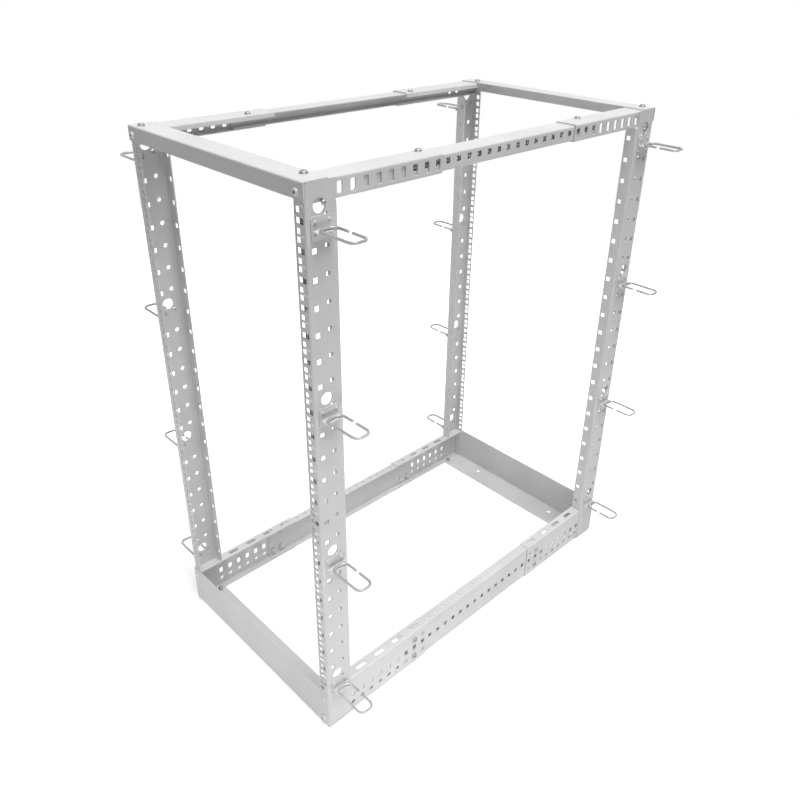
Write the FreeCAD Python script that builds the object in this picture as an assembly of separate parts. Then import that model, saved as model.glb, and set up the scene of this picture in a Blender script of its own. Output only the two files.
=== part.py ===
import FreeCAD, Part
import math
import os

# Four post open frame rack, 22 units high, of folded and punched sheet steel.
# Millimetres. The origin is on the floor under the centre of the frame.
# X runs along the width, Y along the depth with the front at -Y, and Z is up.

V = FreeCAD.Vector
MITRED = 1                 # corner style of a swept wire

# Overall frame
HOLE_PITCH = 25.0          # step of the depth adjustment
DEPTH_STEPS = 31           # steps between the first and the last hole of a side
END_TO_FIRST_HOLE = 66.0   # from the outer end face of the frame to the first hole
SHEET = 2.0
BEND_INNER_RADIUS = 1.0
SLIDE_CLEARANCE = 0.3      # between a middle rail and the sleeves around it
BEND_FLATS = 2             # flats that stand for the curve of a bend
ROUND_SIDES = 8            # sides that stand for a small round hole or wire
LARGE_HOLE_SIDES = 16      # sides that stand for an access hole

# Rack units and the equipment opening
UNIT = 44.45
UNITS = 22
UNIT_HOLE_STEP = 15.875    # from the middle hole of a unit to the ones beside it
OPENING_WIDTH = 450.0
COLUMN_FROM_OPENING = 7.55 # from the edge of the opening to the column of rack holes
FIRST_UNIT_BOTTOM = 96.0
HEADROOM = 35.1            # from the top unit to the top of the frame
RACK_HOLE = 9.5

# Posts
RACK_FLANGE_WIDTH = 26.0
WEB_DEPTH = 58.0
INNER_FLANGE_WIDTH = 26.0
INNER_HOLE_INSET = 8.0     # from the free edge of the inner flange to its holes
WEB_SQUARE_HOLE = 9.5
WEB_SQUARE_FROM_FRONT = 14.0
WEB_ROUND_HOLE = 8.5
WEB_ROUND_FROM_FRONT = 37.0
WEB_ROUND_RISE = 5.5       # above the middle of the unit
ACCESSORY_UNITS = (5, 18)  # units whose web holes take the bolts of side accessories
ACCESS_HOLE = 22.0
ACCESS_FROM_FRONT = 25.0
ACCESS_ABOVE_RING = 31.5

# Top width bars
TOP_BAR_FLANGE = 44.0
TOP_BAR_FACE = 27.0

# Top depth rails
TOP_RAIL_FLANGE = 46.0
TOP_RAIL_HEIGHT = 32.0
TOP_RAIL_FOOT = 14.0       # width of the narrow bottom flange
TOP_SLEEVE_LIP = 10.0      # turned down at the inner edge of the top flange
SLEEVE_LENGTH = 276.0      # from the outer end face of the frame
SLEEVE_COLUMNS = 9
SLOT_WIDTH = 10.0
SLOT_HEIGHT = 18.0
SLOT_BELOW_TOP = 18.0      # from the top of the frame to the middle of the slots
TOP_MIDDLE_LENGTH = 600.0
TOP_OVERLAP_COLUMNS = 3    # slots of the far sleeve that the middle rail covers
TOP_MIDDLE_END_MARGIN = 13.0

# Base width beams
BASE_HEIGHT = 93.0
BASE_FLANGE = 64.0
ANCHOR_HOLE = 12.0
ANCHOR_SPACING = 264.0
ANCHOR_FROM_FACE = 24.0

# Bottom depth rails
BOTTOM_RAIL_HEIGHT = 90.0
BOTTOM_RAIL_FLANGE = 25.0
BOTTOM_RAIL_FOOT = 16.0
ROW_MIDDLE_HEIGHT = 45.0   # above the floor
ROW_STEP = 24.0
TALL_HOLE_WIDTH = 10.0
TALL_HOLE_HEIGHT = 15.0
SMALL_HOLE = 10.0
OUTER_ROW_COLUMNS = 2      # columns at the sleeve's inner end with an upper hole too
FLANGE_SLOT_WIDTH = 9.0
FLANGE_SLOT_LENGTH = 26.0
FLANGE_SLOT_PITCH = 50.0
FLANGE_SLOT_FIRST = 99.0   # from the outer end face of the frame
FLANGE_SLOTS = 4
FLANGE_HOLE = 5.0
BOTTOM_MIDDLE_LENGTH = 500.0

# Cable rings
RINGS_PER_POST = 4
RING_STEP_UNITS = 7
RING_DROP = 11.0           # of the top ring below the middle of the top unit
WIRE = 5.0
RING_REACH = 88.0          # from the post's web to the outer side of the wire
RING_START = 8.0           # from the post's web to the inner side of the loop
RING_WIDTH = 36.0          # over the wire
RING_CORNER_RADIUS = 14.0
RING_GAP = 8.0
RING_GAP_START = 41.0      # from the post's web
RING_FROM_FRONT = 30.0     # centre of the ring behind the end face of the frame
PLATE_HEIGHT = 35.0
PLATE_DEPTH = 40.0
TAB_REACH = 16.0

# Places worked out from the sizes above
BEND = BEND_INNER_RADIUS + SHEET
HALF_WIDTH = OPENING_WIDTH / 2 + RACK_FLANGE_WIDTH
FRAME_HEIGHT = FIRST_UNIT_BOTTOM + UNITS * UNIT + HEADROOM
FRAME_DEPTH = 2 * END_TO_FIRST_HOLE + DEPTH_STEPS * HOLE_PITCH
HALF_DEPTH = FRAME_DEPTH / 2
POST_FRONT = HALF_DEPTH - SHEET
RAIL_OUTER = HALF_WIDTH - SHEET
RAIL_TOP = FRAME_HEIGHT - SHEET
POST_BOTTOM = BEND          # clears the round bend of the base beam
POST_TOP = FRAME_HEIGHT - BEND
SLEEVE_START = POST_FRONT - BEND
BOTTOM_RAIL_TOP = SHEET + BOTTOM_RAIL_HEIGHT


def unit_centre(unit):
    return FIRST_UNIT_BOTTOM + (unit - 0.5) * UNIT


def ring_heights():
    top = unit_centre(UNITS) - RING_DROP
    return [top - i * RING_STEP_UNITS * UNIT for i in range(RINGS_PER_POST)]


def box(x0, x1, y0, y1, z0, z1):
    return Part.makeBox(x1 - x0, y1 - y0, z1 - z0, V(x0, y0, z0))


def turned(vector, degrees):
    return FreeCAD.Rotation(V(0, 0, 1), degrees).multVec(vector)


def folded_section(points):
    """Face of a folded sheet whose outer side follows the points.

    The points lie in the plane Z = 0, each bend is a quarter turn to the left, and the sheet
    is on the left of the path.
    """
    spots = [V(x, y, 0) for x, y in points]
    runs = [(end - start).normalize() for start, end in zip(spots, spots[1:])]
    outer = [spots[0]]
    inner = [spots[0] + turned(runs[0], 90) * SHEET]
    for spot, back, ahead in zip(spots[1:], runs, runs[1:]):
        centre = spot + (turned(back, 90) + turned(ahead, 90)) * BEND
        for i in range(BEND_FLATS + 1):
            side = turned(back, 90 * i / BEND_FLATS - 90)
            outer.append(centre + side * BEND)
            inner.append(centre + side * BEND_INNER_RADIUS)
    outer.append(spots[-1])
    inner.append(spots[-1] + turned(runs[-1], 90) * SHEET)
    outline = outer + inner[::-1]
    return Part.Face(Part.makePolygon(outline + outline[:1]))


def along_z(points, z0, z1):
    """Folded sheet standing up: the points are (x, y)."""
    face = folded_section(points)
    face.translate(V(0, 0, z0))
    return face.extrude(V(0, 0, z1 - z0))


def along_y(points, y0, y1):
    """Folded sheet lying along Y: the points are (x, z)."""
    face = folded_section(points)
    face.rotate(V(0, 0, 0), V(1, 0, 0), 90)
    face.translate(V(0, y0, 0))
    return face.extrude(V(0, y1 - y0, 0))


def along_x(points, x0, x1):
    """Folded sheet lying along X: the points are (y, z)."""
    face = folded_section(points)
    face.rotate(V(0, 0, 0), V(1, 1, 1), 120)
    face.translate(V(x0, 0, 0))
    return face.extrude(V(x1 - x0, 0, 0))


def few_sided(diameter, sides=ROUND_SIDES):
    """Outline around the origin, facing Z, whose sides touch a circle of this diameter."""
    corner = diameter / 2 / math.cos(math.pi / sides)
    turns = [2 * math.pi * (i + 0.5) / sides for i in range(sides + 1)]
    return Part.makePolygon([V(corner * math.cos(a), corner * math.sin(a), 0) for a in turns])


def few_sided_x(diameter, sides=ROUND_SIDES):
    """The same outline, facing X."""
    outline = few_sided(diameter, sides)
    outline.rotate(V(0, 0, 0), V(1, 1, 1), 120)
    return outline


def hole_x(y, z, x, diameter, sides=ROUND_SIDES):
    """Punch through a sheet that faces X."""
    punch = Part.Face(few_sided_x(diameter, sides)).extrude(V(4 * SHEET, 0, 0))
    punch.translate(V(x - 2 * SHEET, y, z))
    return punch


def hole_z(x, y, z, diameter, sides=ROUND_SIDES):
    """Punch through a sheet that faces Z."""
    punch = Part.Face(few_sided(diameter, sides)).extrude(V(0, 0, 4 * SHEET))
    punch.translate(V(x, y, z - 2 * SHEET))
    return punch


def bore_x(y, z, x, diameter):
    """Truly round hole, where another product is bolted on, through a sheet that faces X."""
    return Part.makeCylinder(diameter / 2, 4 * SHEET, V(x - 2 * SHEET, y, z), V(1, 0, 0))


def bore_z(x, y, z, diameter):
    return Part.makeCylinder(diameter / 2, 4 * SHEET, V(x, y, z - 2 * SHEET))


def slot_x(y, z, x, width, height):
    """Rectangular punch through a sheet that faces X."""
    reach = 2 * SHEET
    return box(x - reach, x + reach, y - width / 2, y + width / 2, z - height / 2, z + height / 2)


def slot_y(x, z, y, width, height):
    """Rectangular punch through a sheet that faces Y."""
    reach = 2 * SHEET
    return box(x - width / 2, x + width / 2, y - reach, y + reach, z - height / 2, z + height / 2)


def slot_z(x, y, z, width, length):
    """Round-ended punch along Y through a sheet that faces Z."""
    reach = 2 * SHEET
    straight = (length - width) / 2
    body = box(x - width / 2, x + width / 2, y - straight, y + straight, z - reach, z + reach)
    ends = [hole_z(x, y + s * straight, z, width) for s in (-1, 1)]
    return body.multiFuse(ends).removeSplitter()


def punched(sheet, punches):
    return sheet.cut(Part.makeCompound(punches))


def parted_at_bends(post):
    """The sheet of the post as its web with both bends, its rack flange and its inner flange."""
    beside_web = box(0, HALF_WIDTH - BEND, -HALF_DEPTH, 0, 0, FRAME_HEIGHT)
    flanges = sorted(post.common(beside_web).Solids, key=lambda solid: solid.CenterOfMass.y)
    return {
        "post": post.cut(beside_web).Solids[0],
        "post_rack_flange": flanges[0],
        "post_inner_flange": flanges[1],
    }


def front_right_post():
    """C section: the rack flange in front, the web outside and a narrow flange behind."""
    x = HALF_WIDTH
    y = -POST_FRONT
    back = y + WEB_DEPTH
    path = [(x - RACK_FLANGE_WIDTH, y), (x, y), (x, back), (x - INNER_FLANGE_WIDTH, back)]
    post = along_z(path, POST_BOTTOM, POST_TOP)
    inside = x - INNER_FLANGE_WIDTH - SHEET
    for z0, z1 in ((0, BOTTOM_RAIL_TOP + SHEET), (RAIL_TOP - TOP_RAIL_HEIGHT - SHEET, FRAME_HEIGHT)):
        post = post.cut(box(inside, x - SHEET, back - BEND, back + SHEET, z0, z1))
    punches = []
    for unit in range(1, UNITS + 1):
        middle = unit_centre(unit)
        for step in (-1, 0, 1):
            punches.append(slot_y(OPENING_WIDTH / 2 + COLUMN_FROM_OPENING,
                                  middle + step * UNIT_HOLE_STEP, y, RACK_HOLE, RACK_HOLE))
        punches.append(slot_x(y + WEB_SQUARE_FROM_FRONT, middle, x, WEB_SQUARE_HOLE, WEB_SQUARE_HOLE))
        web_hole = bore_x if unit in ACCESSORY_UNITS else hole_x
        punches.append(web_hole(y + WEB_ROUND_FROM_FRONT, middle + WEB_ROUND_RISE, x, WEB_ROUND_HOLE))
        punches.append(slot_y(x - INNER_FLANGE_WIDTH + INNER_HOLE_INSET, middle, back,
                              RACK_HOLE, RACK_HOLE))
    for z in ring_heights():
        punches.append(hole_x(y + ACCESS_FROM_FRONT, z + ACCESS_ABOVE_RING, x,
                              ACCESS_HOLE, LARGE_HOLE_SIDES))
    return punched(post, punches)


def front_top_bar():
    """Angle over the heads of the two front posts."""
    y = -HALF_DEPTH
    path = [(y + TOP_BAR_FLANGE, FRAME_HEIGHT), (y, FRAME_HEIGHT), (y, FRAME_HEIGHT - TOP_BAR_FACE)]
    return along_x(path, -HALF_WIDTH, HALF_WIDTH)


def front_base_beam():
    """Angle on the floor: a tall face in front of the posts and a foot flange under them."""
    y = -HALF_DEPTH
    path = [(y, BASE_HEIGHT), (y, 0), (y + BASE_FLANGE, 0)]
    beam = along_x(path, -HALF_WIDTH, HALF_WIDTH)
    anchors = [bore_z(s * ANCHOR_SPACING / 2, y + ANCHOR_FROM_FACE, 0, ANCHOR_HOLE) for s in (-1, 1)]
    return punched(beam, anchors)


def hole_stations(first, count):
    """Places along Y of the adjustment holes, counted from the front one."""
    return [-HALF_DEPTH + END_TO_FIRST_HOLE + (first + i) * HOLE_PITCH for i in range(count)]


def top_rail_path(inset, flange_edge):
    """Right-hand channel, open to the inside, inset by the sleeve around it."""
    x = RAIL_OUTER - inset
    top = RAIL_TOP - inset
    bottom = RAIL_TOP - TOP_RAIL_HEIGHT + inset
    return [(RAIL_OUTER - TOP_RAIL_FOOT, bottom), (x, bottom), (x, top), (flange_edge, top)]


def top_sleeve():
    """Front sleeve of the right-hand top rail, with a row of tall slots and a down-turned lip."""
    edge = RAIL_OUTER - TOP_RAIL_FLANGE
    path = top_rail_path(0, edge) + [(edge, RAIL_TOP - TOP_SLEEVE_LIP)]
    sleeve = along_y(path, -SLEEVE_START, -HALF_DEPTH + SLEEVE_LENGTH)
    z = FRAME_HEIGHT - SLOT_BELOW_TOP
    return punched(sleeve, [slot_x(y, z, RAIL_OUTER, SLOT_WIDTH, SLOT_HEIGHT)
                            for y in hole_stations(0, SLEEVE_COLUMNS)])


def top_middle_rail():
    """Right-hand rail that slides in both top sleeves, further into the front one."""
    inset = SHEET + SLIDE_CLEARANCE
    last = DEPTH_STEPS - SLEEVE_COLUMNS + TOP_OVERLAP_COLUMNS
    rear_end = hole_stations(last, 1)[0] + TOP_MIDDLE_END_MARGIN
    path = top_rail_path(inset, RAIL_OUTER - TOP_RAIL_FLANGE + inset)
    return along_y(path, rear_end - TOP_MIDDLE_LENGTH, rear_end)


def bottom_rail(y0, y1, inset):
    """Right-hand channel on the floor beams, open to the inside."""
    x = RAIL_OUTER - inset
    top = BOTTOM_RAIL_TOP - inset
    bottom = SHEET + inset
    path = [(RAIL_OUTER - BOTTOM_RAIL_FOOT, bottom), (x, bottom), (x, top),
            (RAIL_OUTER - BOTTOM_RAIL_FLANGE, top)]
    return along_y(path, y0, y1)


def bottom_sleeve():
    """Front sleeve of the right-hand bottom rail, with rows of holes and slots on top."""
    sleeve = bottom_rail(-SLEEVE_START, -HALF_DEPTH + SLEEVE_LENGTH, 0)
    stations = hole_stations(0, SLEEVE_COLUMNS)
    x = RAIL_OUTER
    punches = []
    for y in stations:
        punches.append(slot_x(y, ROW_MIDDLE_HEIGHT, x, TALL_HOLE_WIDTH, TALL_HOLE_HEIGHT))
        punches.append(hole_x(y, ROW_MIDDLE_HEIGHT - ROW_STEP, x, SMALL_HOLE))
    for y in stations[-OUTER_ROW_COLUMNS:]:
        punches.append(hole_x(y, ROW_MIDDLE_HEIGHT + ROW_STEP, x, SMALL_HOLE))
    slot_x_place = RAIL_OUTER - BOTTOM_RAIL_FLANGE / 2
    for i in range(FLANGE_SLOTS):
        y = -HALF_DEPTH + FLANGE_SLOT_FIRST + i * FLANGE_SLOT_PITCH
        punches.append(slot_z(slot_x_place, y, BOTTOM_RAIL_TOP, FLANGE_SLOT_WIDTH, FLANGE_SLOT_LENGTH))
    return punched(sleeve, punches)


def bottom_middle_rail():
    """Right-hand rail that slides in both bottom sleeves."""
    inset = SHEET + SLIDE_CLEARANCE
    half = BOTTOM_MIDDLE_LENGTH / 2
    rail = bottom_rail(-half, half, inset)
    x = RAIL_OUTER - BOTTOM_RAIL_FLANGE / 2
    inside = [y for y in hole_stations(0, DEPTH_STEPS + 1) if abs(y) < half - FLANGE_HOLE]
    return punched(rail, [hole_z(x, y, BOTTOM_RAIL_TOP - inset, FLANGE_HOLE) for y in inside])


def front_right_ring(z):
    """Plate on the web of the front right post with a split loop of wire on its tab."""
    web = HALF_WIDTH
    middle = -HALF_DEPTH + RING_FROM_FRONT
    plate_front = -HALF_DEPTH + (RING_FROM_FRONT - PLATE_DEPTH / 2)
    plate = box(web, web + SHEET, plate_front, plate_front + PLATE_DEPTH,
                z - PLATE_HEIGHT / 2, z + PLATE_HEIGHT / 2)
    tab_top = z - WIRE / 2
    tab = box(web, web + TAB_REACH, plate_front, plate_front + PLATE_DEPTH, tab_top - SHEET, tab_top)
    half = (RING_WIDTH - WIRE) / 2
    tip = web + RING_REACH - WIRE / 2
    start = web + RING_START + WIRE / 2
    radius = RING_CORNER_RADIUS - WIRE / 2
    turn = radius * (1 - math.sqrt(0.5))
    y0, y1 = middle - half, middle + half
    route = [
        V(web + RING_GAP_START, y1, z),
        V(start + radius, y1, z), V(start + turn, y1 - turn, z), V(start, y1 - radius, z),
        V(start, y0 + radius, z), V(start + turn, y0 + turn, z), V(start + radius, y0, z),
        V(tip - radius, y0, z), V(tip - turn, y0 + turn, z), V(tip, y0 + radius, z),
        V(tip, y1 - radius, z), V(tip - turn, y1 - turn, z), V(tip - radius, y1, z),
        V(web + RING_GAP_START + RING_GAP, y1, z),
    ]
    section = few_sided_x(WIRE)
    section.translate(route[0])
    loop = Part.makePolygon(route).makePipeShell([section], True, False, MITRED)
    return plate.multiFuse([tab, loop]).removeSplitter()


def to_left(shape):
    return shape.mirror(V(0, 0, 0), V(1, 0, 0))


def to_rear(shape):
    return shape.mirror(V(0, 0, 0), V(0, 1, 0))


def half_turn(shape):
    turned = shape.copy()
    turned.rotate(V(0, 0, 0), V(0, 0, 1), 180)
    return turned


def corners(name, shape):
    """The same piece at the four corners of the frame."""
    return {
        f"front_right_{name}": shape,
        f"front_left_{name}": to_left(shape),
        f"rear_right_{name}": to_rear(shape),
        f"rear_left_{name}": half_turn(shape),
    }


def build():
    nodes = {}
    for name, part in parted_at_bends(front_right_post()).items():
        nodes.update(corners(name, part))
    bar = front_top_bar()
    nodes["top_front_bar"] = bar
    nodes["top_rear_bar"] = to_rear(bar)
    beam = front_base_beam()
    nodes["base_front_beam"] = beam
    nodes["base_rear_beam"] = to_rear(beam)
    nodes.update(corners("top_sleeve", top_sleeve()))
    middle = top_middle_rail()
    nodes["right_top_middle_rail"] = middle
    nodes["left_top_middle_rail"] = half_turn(middle)
    nodes.update(corners("bottom_sleeve", bottom_sleeve()))
    middle = bottom_middle_rail()
    nodes["right_bottom_middle_rail"] = middle
    nodes["left_bottom_middle_rail"] = to_left(middle)
    for number, z in enumerate(ring_heights(), 1):
        nodes.update(corners(f"cable_ring_{number}", front_right_ring(z)))
    return nodes


os.makedirs("parts", exist_ok=True)
for node, shape in build().items():
    shape.exportStep(f"parts/{node}.step")
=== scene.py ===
import bisect
import math

import bmesh
import bpy
from mathutils import Matrix, Vector
from mathutils.geometry import delaunay_2d_cdt

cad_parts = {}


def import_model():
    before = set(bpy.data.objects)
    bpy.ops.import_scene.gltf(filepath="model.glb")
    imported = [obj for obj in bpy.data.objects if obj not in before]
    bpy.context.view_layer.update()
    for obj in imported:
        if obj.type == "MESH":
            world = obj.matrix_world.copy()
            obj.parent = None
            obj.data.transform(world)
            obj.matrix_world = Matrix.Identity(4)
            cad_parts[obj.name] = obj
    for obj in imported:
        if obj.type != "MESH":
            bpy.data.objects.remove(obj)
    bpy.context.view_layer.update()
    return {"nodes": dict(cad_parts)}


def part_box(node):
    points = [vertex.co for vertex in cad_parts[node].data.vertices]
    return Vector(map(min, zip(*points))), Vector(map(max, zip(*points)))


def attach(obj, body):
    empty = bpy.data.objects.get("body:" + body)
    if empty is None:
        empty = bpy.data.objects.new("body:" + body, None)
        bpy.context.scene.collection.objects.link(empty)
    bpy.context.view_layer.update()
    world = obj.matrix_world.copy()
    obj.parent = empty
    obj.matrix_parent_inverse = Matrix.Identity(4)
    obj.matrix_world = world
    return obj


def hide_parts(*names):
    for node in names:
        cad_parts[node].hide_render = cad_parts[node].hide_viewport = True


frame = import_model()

# Four post open frame rack. The origin is on the floor under the centre of the frame, X along the
# width, Y along the depth with the front at -Y, Z up. Shapes are drawn in millimetres, and
# mesh_object turns them into metres. Pieces that repeat are drawn at the front right corner or on
# the right side, and mirrored. Lamps, floor and camera are in metres.

PER_METRE = 1000
MILLIMETRE = 0.001


def box_mm(name):
    low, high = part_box(name)
    return low * PER_METRE, high * PER_METRE


# Sizes of the frame
BAR_LOW, BAR_HIGH = box_mm("top_front_bar")
BEAM_HIGH = box_mm("base_front_beam")[1]
RACK_LOW, RACK_HIGH = box_mm("front_right_post_rack_flange")
INNER_LOW, INNER_HIGH = box_mm("front_right_post_inner_flange")
TOP_SLEEVE_LOW, TOP_SLEEVE_HIGH = box_mm("front_right_top_sleeve")
TOP_MIDDLE_LOW, TOP_MIDDLE_HIGH = box_mm("right_top_middle_rail")
BOTTOM_SLEEVE_LOW, BOTTOM_SLEEVE_HIGH = box_mm("front_right_bottom_sleeve")
BOTTOM_MIDDLE_LOW, BOTTOM_MIDDLE_HIGH = box_mm("right_bottom_middle_rail")
HALF_WIDTH = BAR_HIGH.x
HALF_DEPTH = -BAR_LOW.y
TOP = BAR_HIGH.z
POST_FRONT = -RACK_LOW.y
RAIL_OUTER = TOP_SLEEVE_HIGH.x
RAIL_TOP = TOP_SLEEVE_HIGH.z

# Folded sheet
SHEET = 2.0
BEND_INNER = 1.0
BEND = SHEET + BEND_INNER
BEND_STEPS = 6
EDGE_STRIP = 0.3           # flat strip beside a bend, where its rounded shading ends
HOLE_STEPS = 24
LARGE_HOLE_STEPS = 48
PATTERN_DIGITS = 5         # to which spots of the flat pattern are rounded
WELD = 1e-5                # spots closer than this are one
JUST_BEFORE = 1e-3
ALL_TRIANGLES = 0          # output of delaunay_2d_cdt

# Posts
UNIT = 44.45
UNITS = 22
FIRST_UNIT = 96.0
UNIT_HOLE_STEP = 15.875
RACK_HOLE = 9.5
RACK_COLUMN = 7.55         # from the free edge of the rack flange
SQUARE_COLUMN = 14.0       # of the web, from the face of the rack flange, like the next two
ROUND_COLUMN = 37.0
ACCESS_COLUMN = 25.0
ROUND_HOLE = 8.5
ROUND_RISE = 5.5           # over the middle of the unit
ACCESS_HOLE = 22.0
ACCESS_RISE = 31.5         # over the ring
INNER_COLUMN = 18.0        # of the inner flange, from the outer side of the web
BAR_GAP = 0.05             # between the top of the web and the bar over it

# Base beams
ANCHOR_HOLE = 12.0
ANCHOR_COLUMN = 24.0       # from the end face of the frame
ANCHOR_SIDE = 132.0        # from the centre of the beam

# Depth rails. Sizes of a slot are across the folds, along the rail, and its corner radius.
HOLE_PITCH = 25.0
FIRST_STATION = 66.0       # from the end face of the frame to the first adjustment hole
STATIONS = 32
SLEEVE_COLUMNS = 9
TOP_FOOT = 14.0            # width of the flange at the lower edge
TOP_LIP = 10.0             # turned down at the inner edge
TOP_SLOT = (18.0, 10.0, 2.5)
TOP_SLOT_BELOW = 18.0      # from the top of the frame
BOTTOM_FOOT = 16.0
BOTTOM_ROW = 45.0          # height of the middle row
ROW_STEP = 24.0
ROW_HOLE = 10.0
WINDOW = (15.0, 10.0, 3.0)
CABLE_SLOT = (9.0, 26.0, 4.499)    # rounded to just under half its width
CABLE_SLOTS = 4
CABLE_SLOT_PITCH = 50.0
FIRST_CABLE_SLOT = 99.0    # from the end face of the frame
CABLE_COLUMN = 12.5        # from the outer side of the rail
SMALL_HOLE = 5.0
END_MARGIN = 5.0           # from a small hole to the end of its rail, at least

# Cable rings, with distances from the outer side of the web
RINGS_PER_POST = 4
RING_STEP_UNITS = 7
RING_DROP = 11.0           # below the middle of the top unit
RING_FROM_FRONT = 30.0     # from the end face of the frame
RING_WIDTH = 36.0
RING_CORNER = 14.0
RING_NEAR = 8.0
RING_FAR = 88.0
WIRE = 5.0
WIRE_STEPS = 16
WIRE_EASE = 0.5            # rounding of the wire's ends
SPLIT_NEAR = 41.0
SPLIT = 8.0
ARC_STEPS = 8
PLATE = (40.0, 35.0, 4.0)  # width, height, corner radius
TAB = (14.0, 38.0, 3.0)    # reach, width, corner radius
TAB_MIDDLE = 9.0
RIVET_SIDE = 13.0          # from the middle of the plate
RIVET_RISES = (-11.5, 9.5)
RIVET_STEPS = 16
RIVET = [(0, -0.5), (3.0, -0.5), (3.0, 0.5), (2.4, 1.2), (1.2, 1.6), (0, 1.7)]

# Bolts and nuts
SUNK = 0.2                 # how far they start below the surface
HEAD_STEPS = 24
DOME_STEPS = 6
WASHER_SHARE = 1.18        # radius, of the head's
WASHER = 1.1               # thickness
WASHER_EDGE = 0.3          # chamfer
SOCKET_SHARE = 0.46        # radius, of the head's
SOCKET_EDGE = (0.92, 0.3)  # radius under its chamfer, of the socket's, and the chamfer's depth
SOCKET_FOOT = (0.9, 0.35)  # radius of the socket's, and height of the head's
SOCKET_FLOOR = 0.3         # of the head's height
RIM_SHARE = 0.22           # straight side, of the head's height
NUT_LOWER = (0.4, 0.3)     # chamfers of a nut, inward and along
NUT_UPPER = (0.7, 0.6)
NUT_SIDES = 6
THREAD_SHARE = 0.3         # radius of the bolt's end, of the nut's width
THREAD_SUNK = 0.3
THREAD_EDGE = 0.5
# On the front and rear faces: x, height, width of the head, its height
FACE_BOLTS = ((238.0, 73.5, 9.0, 3.0), (236.0, 19.0, 14.0, 3.6), (236.0, TOP - 16.0, 12.0, 3.6))
# On top, by the corner's diagonal: x of the corner bolt, then how far it and the bolt of the
# sleeve are from the end face
TOP_BOLTS = {1: (228.0, 14.0, 222.0), -1: (213.0, 31.0, 256.0)}
SLEEVE_BOLT_X = 213.0
FOOT_BOLT_X = 233.0
FOOT_BOLT_INWARD = 51.0
WEB_BOLT_INWARD = 34.5
WEB_BOLT_BELOW = 34.0
# In the bottom sleeves: column of holes, height over the middle row, sides that have it
RAIL_BOLTS = ((7, ROW_STEP, (-1, 1)), (7, -ROW_STEP, (-1, 1)), (6, -ROW_STEP, (-1,)))

# Printed marks
INK_LIFT = 0.06
INK_THICK = 0.8            # of the lift
TEXT_STEPS = 3             # along each curve of a character
NARROWED = 0.78
UNIT_MARK_X = 242.3
UNIT_NUMBER = (10.5, 0.085)        # size, how much its strokes are widened
UNIT_LINE = (9.4, 3.2)
DEPTH_NUMBER = (11.5, 0.065)
NUMBERS = 20               # on a middle rail
FIRST_NUMBER = 22
FIRST_NUMBER_STATION = 6
TOP_NUMBERS_BELOW = 16.0   # from the top of the frame


def station(index):
    """Place along Y of an adjustment hole, counted from the front."""
    return -HALF_DEPTH + FIRST_STATION + index * HOLE_PITCH


def unit_centre(unit):
    return FIRST_UNIT + (unit - 0.5) * UNIT


def ring_heights():
    top = unit_centre(UNITS) - RING_DROP
    return [top - i * RING_STEP_UNITS * UNIT for i in range(RINGS_PER_POST)]


# Materials

# Sockets of a Mix node for colours
MIX_SHARE, MIX_FIRST, MIX_SECOND, MIX_RESULT = 0, 6, 7, 2


def new_material(name):
    material = bpy.data.materials.new(name)
    material.use_nodes = True
    nodes = material.node_tree.nodes
    nodes.clear()
    return material, nodes, material.node_tree.links


def node(nodes, kind, **values):
    """New node, with its sockets and settings by name."""
    made = nodes.new(kind)
    for key, value in values.items():
        if key in made.inputs:
            made.inputs[key].default_value = value
        else:
            setattr(made, key, value)
    return made


def mapped(nodes, links, value, source, target=(0.0, 1.0)):
    """Socket with the value carried from the source range to the target range."""
    made = node(nodes, "ShaderNodeMapRange")
    for end, read, given in zip(("Min", "Max"), source, target):
        made.inputs[f"From {end}"].default_value = read
        made.inputs[f"To {end}"].default_value = given
    links.new(value, made.inputs["Value"])
    return made.outputs["Result"]


def noise(nodes, links, place, scale, detail, roughness):
    made = node(nodes, "ShaderNodeTexNoise", Scale=scale, Detail=detail, Roughness=roughness)
    links.new(place.outputs["Object"], made.inputs["Vector"])
    return made.outputs["Fac"]


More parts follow.
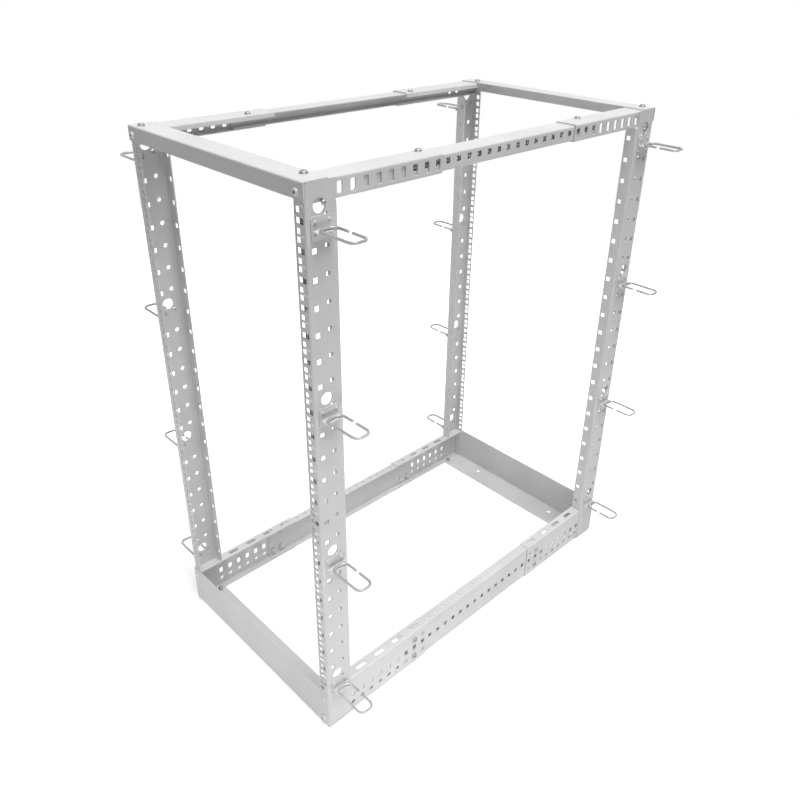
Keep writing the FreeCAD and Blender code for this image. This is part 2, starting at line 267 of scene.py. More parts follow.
def surface(name, colour, dark, rough, rough_span, bump_scale, bump_depth, metallic, cloud_scale,
            edge_colour, edge_share, edge_radius):
    """Painted or plated metal, or ink: cloudy colour, uneven gloss, fine bump and worn edges."""
    material, nodes, links = new_material(name)
    out = node(nodes, "ShaderNodeOutputMaterial")
    shader = node(nodes, "ShaderNodeBsdfPrincipled", Metallic=metallic)
    links.new(shader.outputs[0], out.inputs["Surface"])
    place = node(nodes, "ShaderNodeTexCoord")

    clouds = noise(nodes, links, place, cloud_scale, detail=5.0, roughness=0.55)
    shade = node(nodes, "ShaderNodeMix", data_type="RGBA")
    shade.inputs[MIX_FIRST].default_value = (*dark, 1)
    shade.inputs[MIX_SECOND].default_value = (*colour, 1)
    links.new(mapped(nodes, links, clouds, source=(0.35, 0.65)), shade.inputs[MIX_SHARE])

    # Corners of the metal, found by comparing the true normal with a rounded one
    rounded = node(nodes, "ShaderNodeBevel", samples=6, Radius=edge_radius)
    geometry = node(nodes, "ShaderNodeNewGeometry")
    compare = node(nodes, "ShaderNodeVectorMath", operation="DOT_PRODUCT")
    links.new(rounded.outputs["Normal"], compare.inputs[0])
    links.new(geometry.outputs["Normal"], compare.inputs[1])
    corners = mapped(nodes, links, compare.outputs["Value"], source=(0.995, 0.85),
                     target=(0.0, edge_share))
    scuffs = noise(nodes, links, place, scale=90.0, detail=4.0, roughness=0.6)
    worn = node(nodes, "ShaderNodeMath", operation="MULTIPLY")
    links.new(corners, worn.inputs[0])
    links.new(mapped(nodes, links, scuffs, source=(0.4, 0.62)), worn.inputs[1])
    finish = node(nodes, "ShaderNodeMix", data_type="RGBA")
    finish.inputs[MIX_SECOND].default_value = (*edge_colour, 1)
    links.new(worn.outputs[0], finish.inputs[MIX_SHARE])
    links.new(shade.outputs[MIX_RESULT], finish.inputs[MIX_FIRST])
    links.new(finish.outputs[MIX_RESULT], shader.inputs["Base Color"])

    smears = noise(nodes, links, place, scale=28.0, detail=6.0, roughness=0.62)
    gloss = mapped(nodes, links, smears, source=(0.0, 1.0),
                   target=(rough - rough_span, rough + rough_span))
    links.new(gloss, shader.inputs["Roughness"])

    grain = noise(nodes, links, place, bump_scale, detail=2.0, roughness=0.5)
    bump = node(nodes, "ShaderNodeBump", Strength=1.0, Distance=bump_depth)
    links.new(grain, bump.inputs["Height"])
    links.new(rounded.outputs["Normal"], bump.inputs["Normal"])
    links.new(bump.outputs["Normal"], shader.inputs["Normal"])
    return material


POWDER_COAT = surface(
    "light_grey_powder_coat", colour=(0.63, 0.63, 0.635), dark=(0.575, 0.575, 0.58), rough=0.46,
    rough_span=0.09, bump_scale=620.0, bump_depth=0.00006, metallic=0.0, cloud_scale=9.0,
    edge_colour=(0.74, 0.74, 0.745), edge_share=0.8, edge_radius=0.0007)
PLATED = surface(
    "plated_wire", colour=(0.45, 0.45, 0.46), dark=(0.34, 0.34, 0.35), rough=0.38,
    rough_span=0.12, bump_scale=1500.0, bump_depth=0.00002, metallic=0.35, cloud_scale=40.0,
    edge_colour=(0.7, 0.7, 0.71), edge_share=0.7, edge_radius=0.0004)
PLATED_SHEET = surface(
    "plated_sheet", colour=(0.62, 0.62, 0.63), dark=(0.54, 0.54, 0.55), rough=0.42,
    rough_span=0.1, bump_scale=1200.0, bump_depth=0.00002, metallic=0.1, cloud_scale=30.0,
    edge_colour=(0.76, 0.76, 0.77), edge_share=0.7, edge_radius=0.0005)
# Darker steel for the bolts on top and at the sides: a painted shade for the shading in their
# heads, where the same bolts on the front and rear faces are pale
SHADE_DARKENED_STEEL = surface(
    "bolt_steel_painted_shade", colour=(0.38, 0.38, 0.39), dark=(0.29, 0.29, 0.3), rough=0.36,
    rough_span=0.1, bump_scale=1500.0, bump_depth=0.00002, metallic=0.6, cloud_scale=60.0,
    edge_colour=(0.7, 0.7, 0.71), edge_share=0.7, edge_radius=0.0003)
INK = surface(
    "printed_ink", colour=(0.012, 0.012, 0.013), dark=(0.008, 0.008, 0.009), rough=0.6,
    rough_span=0.1, bump_scale=900.0, bump_depth=0.00001, metallic=0.0, cloud_scale=300.0,
    edge_colour=(0.02, 0.02, 0.02), edge_share=0.2, edge_radius=0.0001)
PALE_INK = surface(
    "printed_lines", colour=(0.93, 0.93, 0.93), dark=(0.86, 0.86, 0.86), rough=0.5,
    rough_span=0.1, bump_scale=900.0, bump_depth=0.00001, metallic=0.0, cloud_scale=300.0,
    edge_colour=(0.8, 0.8, 0.8), edge_share=0.2, edge_radius=0.0001)

for name, thing in frame["nodes"].items():
    thing.data.materials.clear()
    thing.data.materials.append(PLATED if "cable_ring" in name else POWDER_COAT)


# Pieces

SHARP = math.radians(30)
ENDS = {"front": 1, "rear": -1}
SIDES = {"right": 1, "left": -1}


def mesh_object(name, form, material, mirror=(1, 1), second=None):
    """Object from a bmesh in millimetres, riding on the frame; mirror flips it in X or Y."""
    made = form.copy()
    bmesh.ops.scale(made, vec=(MILLIMETRE * mirror[0], MILLIMETRE * mirror[1], MILLIMETRE),
                    verts=made.verts)
    bmesh.ops.recalc_face_normals(made, faces=made.faces)
    for face in made.faces:
        face.smooth = True
    for edge in made.edges:
        edge.smooth = edge.calc_face_angle(math.pi) < SHARP
    data = bpy.data.meshes.new(name)
    made.to_mesh(data)
    made.free()
    data.materials.append(material)
    if second:
        data.materials.append(second)
    thing = bpy.data.objects.new(name, data)
    bpy.context.scene.collection.objects.link(thing)
    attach(thing, "root")
    return thing


def left_of(run):
    return Vector((-run.y, run.x))


class Fold:
    """Section of a folded sheet and its flat pattern.

    The outer side follows the points, each bend is a quarter turn to the left, and the sheet is
    on the left. In the flat pattern u runs across the folds and v along them.
    """

    def __init__(self, points):
        spots = [Vector(point) for point in points]
        runs = [after - before for before, after in zip(spots, spots[1:])]
        self.stations = []
        self.bases = []
        base = 0.0
        for k, run in enumerate(runs):
            ahead = run.normalized()
            left = left_of(ahead)
            lead = BEND if k > 0 else 0.0
            tail = BEND if k < len(runs) - 1 else 0.0
            self.bases.append(base)
            marks = {lead, run.length - tail}
            if lead:
                marks.add(lead + EDGE_STRIP)
            if tail:
                marks.add(run.length - tail - EDGE_STRIP)
            for mark in sorted(marks):
                outer = spots[k] + ahead * mark
                self.stations.append((base + mark, outer, outer + left * SHEET))
            if tail:
                centre = spots[k + 1] + (left - ahead) * BEND
                start = base + run.length - BEND
                sweep = BEND_INNER + SHEET / 2
                for i in range(1, BEND_STEPS):
                    a = math.pi / 2 * i / BEND_STEPS
                    side = ahead * math.sin(a) - left * math.cos(a)
                    self.stations.append((start + sweep * a, centre + side * BEND,
                                          centre + side * BEND_INNER))
                base = start + sweep * math.pi / 2 - BEND
        self.marks = [u for u, outer, inner in self.stations]

    def u(self, run, along):
        """Place in the flat pattern of a spot in a run, from the run's first point."""
        return self.bases[run] + along

    def folded(self, u):
        """Outer and inner spot of the section at u."""
        i = min(max(bisect.bisect_right(self.marks, u), 1), len(self.marks) - 1)
        (u0, outer0, inner0), (u1, outer1, inner1) = self.stations[i - 1:i + 1]
        share = (u - u0) / (u1 - u0)
        return outer0.lerp(outer1, share), inner0.lerp(inner1, share)


def round_hole(u, v, diameter, steps=HOLE_STEPS):
    turns = [2 * math.pi * i / steps for i in range(steps)]
    return [(u + diameter / 2 * math.cos(a), v + diameter / 2 * math.sin(a)) for a in turns]


def slot_hole(u, v, across, along, corner):
    """Slot with rounded corners, across the folds by along the sheet."""
    spots = []
    steps = HOLE_STEPS // 4
    for quarter, (su, sv) in enumerate(((1, 1), (-1, 1), (-1, -1), (1, -1))):
        for i in range(steps + 1):
            a = math.pi / 2 * (quarter + i / steps)
            spots.append((round(u + su * (across / 2 - corner) + corner * math.cos(a), 6),
                          round(v + sv * (along / 2 - corner) + corner * math.sin(a), 6)))
    return list(dict.fromkeys(spots))


def square_hole(u, v, size):
    h = size / 2
    return [(u - h, v - h), (u + h, v - h), (u + h, v + h), (u - h, v + h)]


def inside(spot, outline):
    """Whether a spot is in a convex outline that runs to the left."""
    for (au, av), (bu, bv) in zip(outline, outline[1:] + outline[:1]):
        if (bu - au) * (spot[1] - av) - (bv - av) * (spot[0] - au) < 0:
            return False
    return True


def sheet(fold, spans, holes, place):
    """Folded sheet with its holes.

    spans are (first u, v at one end, v at the other end) in rising order, and place turns a spot
    of the section and v into a place in space.
    """
    points, edges, known = [], [], {}

    def point(u, v):
        key = (round(u, PATTERN_DIGITS), round(v, PATTERN_DIGITS))
        if key not in known:
            known[key] = len(points)
            points.append(Vector(key))
        return known[key]

    def span_at(u):
        return [span for span in spans if span[0] <= u + 1e-6][-1][1:]

    # Lines at each mark of the fold, the two ends of the sheet, and the rims of the holes
    before = None
    for mark in fold.marks:
        span = span_at(mark)
        last = span_at(mark - JUST_BEFORE) if before else span
        column = [point(mark, v) for v in sorted({*span, *last})]
        edges += list(zip(column, column[1:]))
        if before:
            edges += [(before[0], point(mark, last[0])), (before[1], point(mark, last[1]))]
        before = (point(mark, span[0]), point(mark, span[1]))
    boxes = []
    for hole in holes:
        rim = [point(u, v) for u, v in hole]
        edges += list(zip(rim, rim[1:] + rim[:1]))
        us, vs = zip(*hole)
        boxes.append((min(us), max(us), min(vs), max(vs), hole))
    spots, _, faces, _, _, _ = delaunay_2d_cdt(points, edges, [], ALL_TRIANGLES, WELD)

    # Both sides of the sheet, and its edges where a face has no neighbour
    form = bmesh.new()
    outer, inner = [], []
    for spot in spots:
        outside, within = fold.folded(spot.x)
        outer.append(form.verts.new(place(outside, spot.y)))
        inner.append(form.verts.new(place(within, spot.y)))
    open_sides = {}
    for face in faces:
        u = sum(spots[i].x for i in face) / len(face)
        v = sum(spots[i].y for i in face) / len(face)
        low, high = span_at(u)
        if not low < v < high:
            continue
        if any(a < u < b and c < v < d and inside((u, v), hole) for a, b, c, d, hole in boxes):
            continue
        form.faces.new([outer[i] for i in face])
        form.faces.new([inner[i] for i in reversed(face)])
        for a, b in zip(face, face[1:] + face[:1]):
            if (b, a) in open_sides:
                del open_sides[b, a]
            else:
                open_sides[a, b] = True
    for a, b in open_sides:
        form.faces.new([outer[b], outer[a], inner[a], inner[b]])
    bmesh.ops.delete(form, geom=[v for v in form.verts if not v.link_faces], context="VERTS")
    return form


# Ways in which v runs through space
def upright(spot, v):
    return Vector((spot.x, spot.y, v))


def lengthways(spot, v):
    return Vector((spot.x, v, spot.y))


def crossways(spot, v):
    return Vector((v, spot.x, spot.y))


def at_corners(name, form, nodes):
    """The sheet at the four corners, in place of the nodes whose names end as given."""
    for end, sy in ENDS.items():
        for side, sx in SIDES.items():
            thing = mesh_object(f"{end}_{side}_{name}", form, POWDER_COAT,
                                (sx, sy))
            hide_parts(*[f"{end}_{side}_{part}" for part in nodes])
    form.free()


def posts():
    x, y = HALF_WIDTH, -POST_FRONT
    edge = RACK_LOW.x
    back = INNER_HIGH.y
    fold = Fold([(edge, y), (x, y), (x, back), (edge, back)])
    rack_column = fold.u(0, RACK_COLUMN)
    holes = []
    for unit in range(1, UNITS + 1):
        z = unit_centre(unit)
        for step in (-1, 0, 1):
            holes.append(square_hole(rack_column, z + step * UNIT_HOLE_STEP, RACK_HOLE))
        holes.append(square_hole(fold.u(1, SQUARE_COLUMN), z, RACK_HOLE))
        holes.append(round_hole(fold.u(1, ROUND_COLUMN), z + ROUND_RISE, ROUND_HOLE))
        holes.append(square_hole(fold.u(2, INNER_COLUMN), z, RACK_HOLE))
    for z in ring_heights():
        holes.append(round_hole(fold.u(1, ACCESS_COLUMN), z + ACCESS_RISE, ACCESS_HOLE,
                                LARGE_HOLE_STEPS))
    web = fold.u(1, BEND + EDGE_STRIP)
    notch = fold.u(1, back - y - BEND)
    spans = [(0.0, RACK_LOW.z, RACK_HIGH.z), (web, RACK_LOW.z, RAIL_TOP - BAR_GAP),
             (notch, INNER_LOW.z, INNER_HIGH.z)]
    form = sheet(fold, spans, holes, upright)
    at_corners("post_sheet", form, ("post", "post_rack_flange", "post_inner_flange"))


def bars():
    y = -HALF_DEPTH
    across = [(0.0, -HALF_WIDTH, HALF_WIDTH)]
    fold = Fold([(BAR_HIGH.y, TOP), (y, TOP), (y, BAR_LOW.z)])
    form = sheet(fold, across, [], crossways)
    beam = Fold([(y, BEAM_HIGH.z), (y, 0), (BEAM_HIGH.y, 0)])
    anchors = [round_hole(beam.u(1, ANCHOR_COLUMN), s * ANCHOR_SIDE, ANCHOR_HOLE, LARGE_HOLE_STEPS)
               for s in (-1, 1)]
    base = sheet(beam, across, anchors, crossways)
    for end, sy in ENDS.items():
        thing = mesh_object(f"top_{end}_bar_sheet", form, POWDER_COAT, (1, sy))
        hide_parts(f"top_{end}_bar")
        thing = mesh_object(f"base_{end}_beam_sheet", base, POWDER_COAT, (1, sy))
        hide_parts(f"base_{end}_beam")
    form.free()
    base.free()


def top_rails():
    x, top = RAIL_OUTER, RAIL_TOP
    edge = TOP_SLEEVE_LOW.x
    bottom = TOP_SLEEVE_LOW.z
    foot = x - TOP_FOOT
    fold = Fold([(foot, bottom), (x, bottom), (x, top), (edge, top), (edge, top - TOP_LIP)])
    row = fold.u(1, TOP - TOP_SLOT_BELOW - bottom)
    holes = [slot_hole(row, station(i), *TOP_SLOT) for i in range(SLEEVE_COLUMNS)]
    form = sheet(fold, [(0.0, TOP_SLEEVE_LOW.y, TOP_SLEEVE_HIGH.y)], holes, lengthways)
    at_corners("top_sleeve_sheet", form, ("top_sleeve",))
    low, high = TOP_MIDDLE_LOW, TOP_MIDDLE_HIGH
    fold = Fold([(foot, low.z), (high.x, low.z), (high.x, high.z), (low.x, high.z)])
    form = sheet(fold, [(0.0, low.y, high.y)], [], lengthways)
    for side, s in SIDES.items():
        thing = mesh_object(f"{side}_top_middle_sheet", form, POWDER_COAT, (s, s))
        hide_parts(f"{side}_top_middle_rail")
    form.free()


def bottom_rails():
    low, high = BOTTOM_SLEEVE_LOW, BOTTOM_SLEEVE_HIGH
    foot = RAIL_OUTER - BOTTOM_FOOT
    fold = Fold([(foot, low.z), (high.x, low.z), (high.x, high.z), (low.x, high.z)])
    row = BOTTOM_ROW - low.z
    holes = []
    for i in range(SLEEVE_COLUMNS):
        holes.append(slot_hole(fold.u(1, row), station(i), *WINDOW))
        holes.append(round_hole(fold.u(1, row - ROW_STEP), station(i), ROW_HOLE))
    for i in (SLEEVE_COLUMNS - 2, SLEEVE_COLUMNS - 1):
        holes.append(round_hole(fold.u(1, row + ROW_STEP), station(i), ROW_HOLE))
    for i in range(CABLE_SLOTS):
        y = -HALF_DEPTH + FIRST_CABLE_SLOT + CABLE_SLOT_PITCH * i
        holes.append(slot_hole(fold.u(2, CABLE_COLUMN), y, *CABLE_SLOT))
    form = sheet(fold, [(0.0, low.y, high.y)], holes, lengthways)
    at_corners("bottom_sleeve_sheet", form, ("bottom_sleeve",))
    low, high = BOTTOM_MIDDLE_LOW, BOTTOM_MIDDLE_HIGH
    fold = Fold([(foot, low.z), (high.x, low.z), (high.x, high.z), (low.x, high.z)])
    along = high.x - (RAIL_OUTER - CABLE_COLUMN)
    holes = [round_hole(fold.u(2, along), y, SMALL_HOLE)
             for y in (station(i) for i in range(STATIONS)) if abs(y) < high.y - END_MARGIN]
    form = sheet(fold, [(0.0, low.y, high.y)], holes, lengthways)
    for side, s in SIDES.items():
        thing = mesh_object(f"{side}_bottom_middle_sheet", form, POWDER_COAT,
                            (s, 1))
        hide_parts(f"{side}_bottom_middle_rail")
    form.free()


def arc(centre, radius, first, last):
    """Spots along an arc between two directions in degrees."""
    turns = [math.radians(first + (last - first) * i / ARC_STEPS) for i in range(ARC_STEPS + 1)]
    return [Vector((centre[0] + radius * math.cos(a), centre[1] + radius * math.sin(a)))
            for a in turns]


def wire_loop(form, route, z, diameter):
    """Round wire along a flat route, with its ends slightly rounded."""
    loops = []
    runs = [(after - before).normalized() for before, after in zip(route, route[1:])]
    radius = diameter / 2
    for k, spot in enumerate(route):
        back, ahead = runs[max(k - 1, 0)], runs[min(k, len(runs) - 1)]
        run = (back + ahead).normalized()
        stretch = 1 / run.dot(ahead)
        side = left_of(run)
        rows = [(spot, radius)]
        if k == 0:
            rows = [(spot, radius - WIRE_EASE), (spot + run * WIRE_EASE, radius)]
        if k == len(route) - 1:
            rows = [(spot - run * WIRE_EASE, radius), (spot, radius - WIRE_EASE)]
        for centre, reach in rows:
            loop = []
            for i in range(WIRE_STEPS):
                a = 2 * math.pi * i / WIRE_STEPS
                flat = centre + side * (reach * stretch * math.cos(a))
                loop.append(form.verts.new((flat.x, flat.y, z + reach * math.sin(a))))
            loops.append(loop)
    for lower, upper in zip(loops, loops[1:]):
        for i in range(WIRE_STEPS):
            j = (i + 1) % WIRE_STEPS
            form.faces.new((lower[i], lower[j], upper[j], upper[i]))
    form.faces.new(loops[0])
    form.faces.new(loops[-1])


def slab(form, outline, place, thickness):
    """Flat piece: the outline is 2D, and place turns (a, b, height) into a place in space."""
    lower = [form.verts.new(place(a, b, 0)) for a, b in outline]
    upper = [form.verts.new(place(a, b, thickness)) for a, b in outline]
    for i in range(len(outline)):
        j = (i + 1) % len(outline)
        form.faces.new((lower[i], lower[j], upper[j], upper[i]))
    form.faces.new(lower)
    form.faces.new(upper)


def facing(direction):
    """Rotation that takes +Z to the direction."""
    return Vector((0, 0, 1)).rotation_difference(Vector(direction)).to_matrix()


def lathe(form, profile, steps, place, direction):
    """Turns (radius, height) pairs round the direction; a radius of 0 closes the piece."""
    turn = facing(direction)
    rows = []
    for radius, height in profile:
        count = 1 if radius == 0 else steps
        row = []
        for i in range(count):
            a = 2 * math.pi * i / count
            spot = Vector((radius * math.cos(a), radius * math.sin(a), height))
            row.append(form.verts.new(turn @ spot + place))
        rows.append(row)
    for lower, upper in zip(rows, rows[1:]):
        for i in range(steps):
            spots = (lower[i % len(lower)], lower[(i + 1) % len(lower)],
                     upper[(i + 1) % len(upper)], upper[i % len(upper)])
            form.faces.new(list(dict.fromkeys(spots)))


def rings():
    """Split wire loops on their riveted brackets, one joined piece for each CAD node."""
    web = HALF_WIDTH
    middle = -HALF_DEPTH + RING_FROM_FRONT
    half = (RING_WIDTH - WIRE) / 2
    corner = RING_CORNER - WIRE / 2
    near, far = web + RING_NEAR + WIRE / 2, web + RING_FAR - WIRE / 2
    y0, y1 = middle - half, middle + half
    split = web + SPLIT_NEAR
    route = [Vector((split, y1))]
    route += arc((near + corner, y1 - corner), corner, 90, 180)
    route += arc((near + corner, y0 + corner), corner, 180, 270)
    route += arc((far - corner, y0 + corner), corner, 270, 360)
    route += arc((far - corner, y1 - corner), corner, 0, 90)
    route.append(Vector((split + SPLIT, y1)))
    for number, z in enumerate(ring_heights(), 1):
        form = bmesh.new()
        wire_loop(form, route, z, WIRE)
        wire_faces = len(form.faces)
        slab(form, slot_hole(middle, z, *PLATE), lambda y, up, x: (web + x, y, up), SHEET)
        level = z - WIRE / 2 - SHEET
        slab(form, slot_hole(web + TAB_MIDDLE, middle, *TAB),
             lambda x, y, up, level=level: (x, y, level + up), SHEET)
        for sy in (-1, 1):
            for rise in RIVET_RISES:
                place = Vector((web + SHEET, middle + sy * RIVET_SIDE, z + rise))
                lathe(form, RIVET, RIVET_STEPS, place, (1, 0, 0))
        # The bracket takes the piece's second material
        for face in list(form.faces)[wire_faces:]:
            face.material_index = 1
        for end, sy in ENDS.items():
            for side, sx in SIDES.items():
                name = f"{end}_{side}_cable_ring_{number}"
                thing = mesh_object(f"{name}_wire", form, PLATED, (sx, sy),
                                    PLATED_SHEET)
                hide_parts(name)
        form.free()


def bolt(form, place, direction, head=12.0, height=3.6):
    """Button head on a washer, with a round socket."""
    place = Vector(place)
    r = head / 2
    washer = r * WASHER_SHARE
    lathe(form, [(0, -SUNK), (washer, -SUNK), (washer, WASHER - WASHER_EDGE),
                 (washer - WASHER_EDGE, WASHER), (0, WASHER)], HEAD_STEPS, place, direction)
    base = WASHER - SUNK
    socket = r * SOCKET_SHARE
    profile = [(0, base), (r, base), (r, base + height * RIM_SHARE)]
    for i in range(1, DOME_STEPS):
        a = math.radians(90 / DOME_STEPS * i)
        rise = RIM_SHARE + (1 - RIM_SHARE) * math.sin(a)
        profile.append((socket + (r - socket) * math.cos(a), base + height * rise))
    edge, foot = SOCKET_EDGE, SOCKET_FOOT
    profile += [(socket, base + height), (socket * edge[0], base + height - edge[1]),
                (socket * foot[0], base + height * foot[1]), (0, base + height * SOCKET_FLOOR)]
    lathe(form, profile, HEAD_STEPS, place, direction)


def nut(form, place, direction, across=10.0, height=5.0, end=2.5):
    """Hexagon nut with the end of its bolt."""
    place = Vector(place)
    wide = across / math.sqrt(3)
    lower, upper = NUT_LOWER, NUT_UPPER
    lathe(form, [(0, -SUNK), (wide - lower[0], -SUNK), (wide, lower[1]),
                 (wide, height - upper[1]), (wide - upper[0], height), (0, height)],
          NUT_SIDES, place, direction)
    r = across * THREAD_SHARE
    start, tip = height - THREAD_SUNK, height + end
    lathe(form, [(0, start), (r, start), (r, tip - THREAD_EDGE), (r - THREAD_EDGE, tip), (0, tip)],
          HEAD_STEPS, place, direction)


def bolts():
    """Dark bolts and pale bolts with the nuts, as two pieces; the darker steel of the bolts on top
    and at the sides is a painted shade, for the shading in their heads.
    """
    # dark gathers the bolts whose darker steel is a painted shade
    dark = bmesh.new()
    pale = bmesh.new()
    inner_face = BOTTOM_MIDDLE_HIGH.x - SHEET
    upward = (0, 0, 1)
    for sx in (-1, 1):
        for sy in (-1, 1):
            for x, z, head, height in FACE_BOLTS:
                bolt(pale, (sx * x, sy * HALF_DEPTH, z), (0, sy, 0), head, height)
            x, inward, sleeve_inward = TOP_BOLTS[sx * sy]
            bolt(dark, (sx * x, sy * (HALF_DEPTH - inward), TOP), upward)
            bolt(dark, (sx * SLEEVE_BOLT_X, sy * (HALF_DEPTH - sleeve_inward), RAIL_TOP), upward,
                 head=11.0)
            bolt(dark, (sx * FOOT_BOLT_X, sy * (HALF_DEPTH - FOOT_BOLT_INWARD), 2 * SHEET), upward,
                 head=10.0)
            place = (sx * HALF_WIDTH, sy * (HALF_DEPTH - WEB_BOLT_INWARD), TOP - WEB_BOLT_BELOW)
            bolt(dark, place, (sx, 0, 0), head=8.0, height=2.6)
            for column, rise, sides in RAIL_BOLTS:
                if sx not in sides:
                    continue
                y, z = -sy * station(column), BOTTOM_ROW + rise
                bolt(dark, (sx * RAIL_OUTER, y, z), (sx, 0, 0), head=11.0, height=3.2)
                nut(pale, (sx * inner_face, y, z), (-sx, 0, 0), across=13.0)
    # The darker steel of these bolts is a painted shade
    mesh_object("bolts_painted_shade", dark, SHADE_DARKENED_STEEL)
    mesh_object("pale_bolts", pale, PLATED_SHEET)
    dark.free()
    pale.free()


def text_form(form, body, size, bold, turn, place):
    """Adds a printed text, centred on the place, to the bmesh; bold widens its strokes."""
    curve = bpy.data.curves.new("text", "FONT")
    curve.body = body
    curve.size = size
    curve.align_x = "CENTER"
    curve.align_y = "CENTER"
    curve.extrude = INK_LIFT * INK_THICK
    curve.offset = size * bold
    curve.resolution_u = TEXT_STEPS
    thing = bpy.data.objects.new("text", curve)
    bpy.context.scene.collection.objects.link(thing)
    bpy.context.view_layer.update()
    graph = bpy.context.evaluated_depsgraph_get()
    data = bpy.data.meshes.new_from_object(thing.evaluated_get(graph))
    data.transform(Matrix.Translation(place) @ turn.to_4x4())
    form.from_mesh(data)
    bpy.data.meshes.remove(data)
    bpy.data.objects.remove(thing)
    bpy.data.curves.remove(curve)


def facing_text(right, up):
    """Rotation for a narrowed text that reads along right, with up as its upward direction."""
    right, up = Vector(right), Vector(up)
    turn = Matrix((right, up, right.cross(up))).transposed()
    return turn @ Matrix.Diagonal((NARROWED, 1, 1))


def unit_marks():
    """Unit numbers and the lines between them, on the front right post."""
    form = bmesh.new()
    turn = facing_text((1, 0, 0), (0, 0, 1))
    for unit in range(1, UNITS + 1):
        place = Vector((UNIT_MARK_X, -POST_FRONT - INK_LIFT, unit_centre(unit)))
        text_form(form, str(unit), *UNIT_NUMBER, turn, place)
    mesh_object("unit_numbers", form, INK)
    form.free()
    form = bmesh.new()
    width, height = UNIT_LINE
    for unit in range(UNITS + 1):
        centre = Vector((UNIT_MARK_X, -POST_FRONT - INK_LIFT / 2, FIRST_UNIT + unit * UNIT))
        scale = Matrix.Diagonal((width, INK_LIFT, height, 1))
        bmesh.ops.create_cube(form, size=1, matrix=Matrix.Translation(centre) @ scale)
    mesh_object("unit_lines", form, PALE_INK)
    form.free()


def depth_marks():
    """Numbers along the outer sides of the middle rails."""
    form = bmesh.new()
    for sx in (-1, 1):
        turn = facing_text((0, sx, 0), (0, 0, 1))
        top_x = sx * (TOP_MIDDLE_HIGH.x + INK_LIFT)
        bottom_x = sx * (BOTTOM_MIDDLE_HIGH.x + INK_LIFT)
        for i in range(NUMBERS):
            y = sx * station(i + FIRST_NUMBER_STATION)
            for x, z in ((top_x, TOP - TOP_NUMBERS_BELOW), (bottom_x, BOTTOM_ROW)):
                text_form(form, str(FIRST_NUMBER + i), *DEPTH_NUMBER, turn, Vector((x, y, z)))
    mesh_object("depth_numbers", form, INK)
    form.free()


posts()
bars()
top_rails()
bottom_rails()
rings()
bolts()
unit_marks()
depth_marks()


# Floor, world, lamps and camera, in metres

WHITE = (1, 1, 1, 1)
FLOOR_RADIUS = 3.4
FLOOR_STEPS = 96
FLOOR_DROP = 0.0005        # under the frame, so that no faces coincide
FLOOR_SEEN = (0.8, 0.8, 0.8, 1)
WORLD_LIGHT = 0.18

# Place, target, width and watts
LAMPS = {
    "key": ((1.6, -0.2, 6.0), (0, 0, 0.5), 3.0, 335),
    "low_right": ((1.3, -0.55, 0.25), (0.2, -0.35, 0.05), 0.45, 4.6),
    "low_front": ((0, -1.35, 0.35), (0, -0.4, 0.1), 0.6, 2.9),
    "low_rear": ((0, 1.6, 0.6), (0, 0.2, 0.5), 0.8, 6.5),
    "low_left": ((-1.5, 0, 0.8), (-0.2, 0, 0.5), 1.0, 5.0),
}

# Camera, fitted to the unit marks, corners and long edges of the frame; pixels of the image
IMAGE = 800
FOCAL_LENGTH = 782.56
OPTICAL_CENTRE = (413.35, 370.88)
SENSOR = 36
CAMERA_PLACE = (1.1028, -1.0804, 1.3894)
CAMERA_TURN = (61.6082, -1.0385, 45.7905)      # degrees


def white_when_seen(nodes, links, shader, seen):
    """Mixes a shader with one that is used where the camera, gloss or glass looks at it."""
    path = node(nodes, "ShaderNodeLightPath")
    first = node(nodes, "ShaderNodeMath", operation="MAXIMUM")
    second = node(nodes, "ShaderNodeMath", operation="MAXIMUM")
    links.new(path.outputs["Is Camera Ray"], first.inputs[0])
    links.new(path.outputs["Is Glossy Ray"], first.inputs[1])
    links.new(first.outputs[0], second.inputs[0])
    links.new(path.outputs["Is Transmission Ray"], second.inputs[1])
    mix = node(nodes, "ShaderNodeMixShader")
    links.new(second.outputs[0], mix.inputs[0])
    links.new(shader, mix.inputs[1])
    links.new(seen, mix.inputs[2])
    return mix.outputs[0]


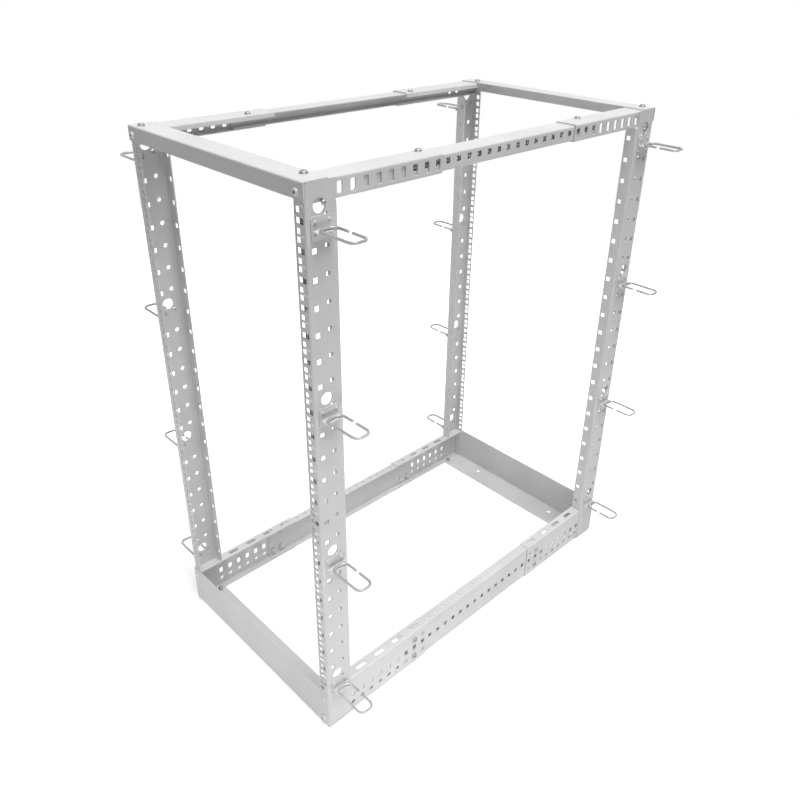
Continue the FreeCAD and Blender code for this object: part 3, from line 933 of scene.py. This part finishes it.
def floor():
    """Pale disc: matt near the frame for its light, and white to the eye apart from shadows."""
    form = bmesh.new()
    bmesh.ops.create_circle(form, cap_ends=True, segments=FLOOR_STEPS, radius=FLOOR_RADIUS)
    data = bpy.data.meshes.new("floor")
    form.to_mesh(data)
    form.free()
    thing = bpy.data.objects.new("floor", data)
    bpy.context.scene.collection.objects.link(thing)
    thing.location.z = -FLOOR_DROP
    material, nodes, links = new_material("floor")
    out = node(nodes, "ShaderNodeOutputMaterial")
    place = node(nodes, "ShaderNodeTexCoord")
    length = node(nodes, "ShaderNodeVectorMath", operation="LENGTH")
    links.new(place.outputs["Object"], length.inputs[0])
    from_centre = length.outputs["Value"]
    matt = node(nodes, "ShaderNodeBsdfDiffuse")
    links.new(mapped(nodes, links, from_centre, source=(0.55, 1.2), target=(0.78, 0.4)),
              matt.inputs["Color"])
    glow = node(nodes, "ShaderNodeEmission")
    links.new(mapped(nodes, links, from_centre, source=(0.6, 1.1), target=(0.38, 1.0)),
              glow.inputs["Strength"])
    pale = node(nodes, "ShaderNodeBsdfDiffuse", Color=FLOOR_SEEN)
    both = node(nodes, "ShaderNodeAddShader")
    links.new(glow.outputs[0], both.inputs[0])
    links.new(pale.outputs[0], both.inputs[1])
    links.new(white_when_seen(nodes, links, matt.outputs[0], both.outputs[0]),
              out.inputs["Surface"])
    data.materials.append(material)


def world():
    made = bpy.data.worlds.new("studio")
    made.use_nodes = True
    nodes, links = made.node_tree.nodes, made.node_tree.links
    nodes.clear()
    out = node(nodes, "ShaderNodeOutputWorld")
    light = node(nodes, "ShaderNodeBackground", Color=WHITE, Strength=WORLD_LIGHT)
    seen = node(nodes, "ShaderNodeBackground", Color=WHITE, Strength=1.0)
    links.new(white_when_seen(nodes, links, light.outputs[0], seen.outputs[0]),
              out.inputs["Surface"])
    bpy.context.scene.world = made


def lamp(name, place, target, width, watts):
    data = bpy.data.lights.new(name, "AREA")
    data.shape = "DISK"
    data.size = width
    data.energy = watts
    thing = bpy.data.objects.new(name, data)
    bpy.context.scene.collection.objects.link(thing)
    thing.location = place
    aim = Vector(target) - Vector(place)
    thing.rotation_euler = aim.to_track_quat("-Z", "Y").to_euler()
    thing.visible_camera = False


def camera():
    data = bpy.data.cameras.new("camera")
    data.sensor_width = SENSOR
    data.lens = SENSOR * FOCAL_LENGTH / IMAGE
    data.shift_x = (IMAGE / 2 - OPTICAL_CENTRE[0]) / IMAGE
    data.shift_y = (OPTICAL_CENTRE[1] - IMAGE / 2) / IMAGE
    data.clip_start, data.clip_end = 0.05, 100
    thing = bpy.data.objects.new("camera", data)
    bpy.context.scene.collection.objects.link(thing)
    thing.location = CAMERA_PLACE
    thing.rotation_euler = [math.radians(a) for a in CAMERA_TURN]
    bpy.context.scene.camera = thing


floor()
world()
for name, settings in LAMPS.items():
    lamp(name, *settings)
camera()
bpy.context.scene.view_settings.view_transform = "Standard"
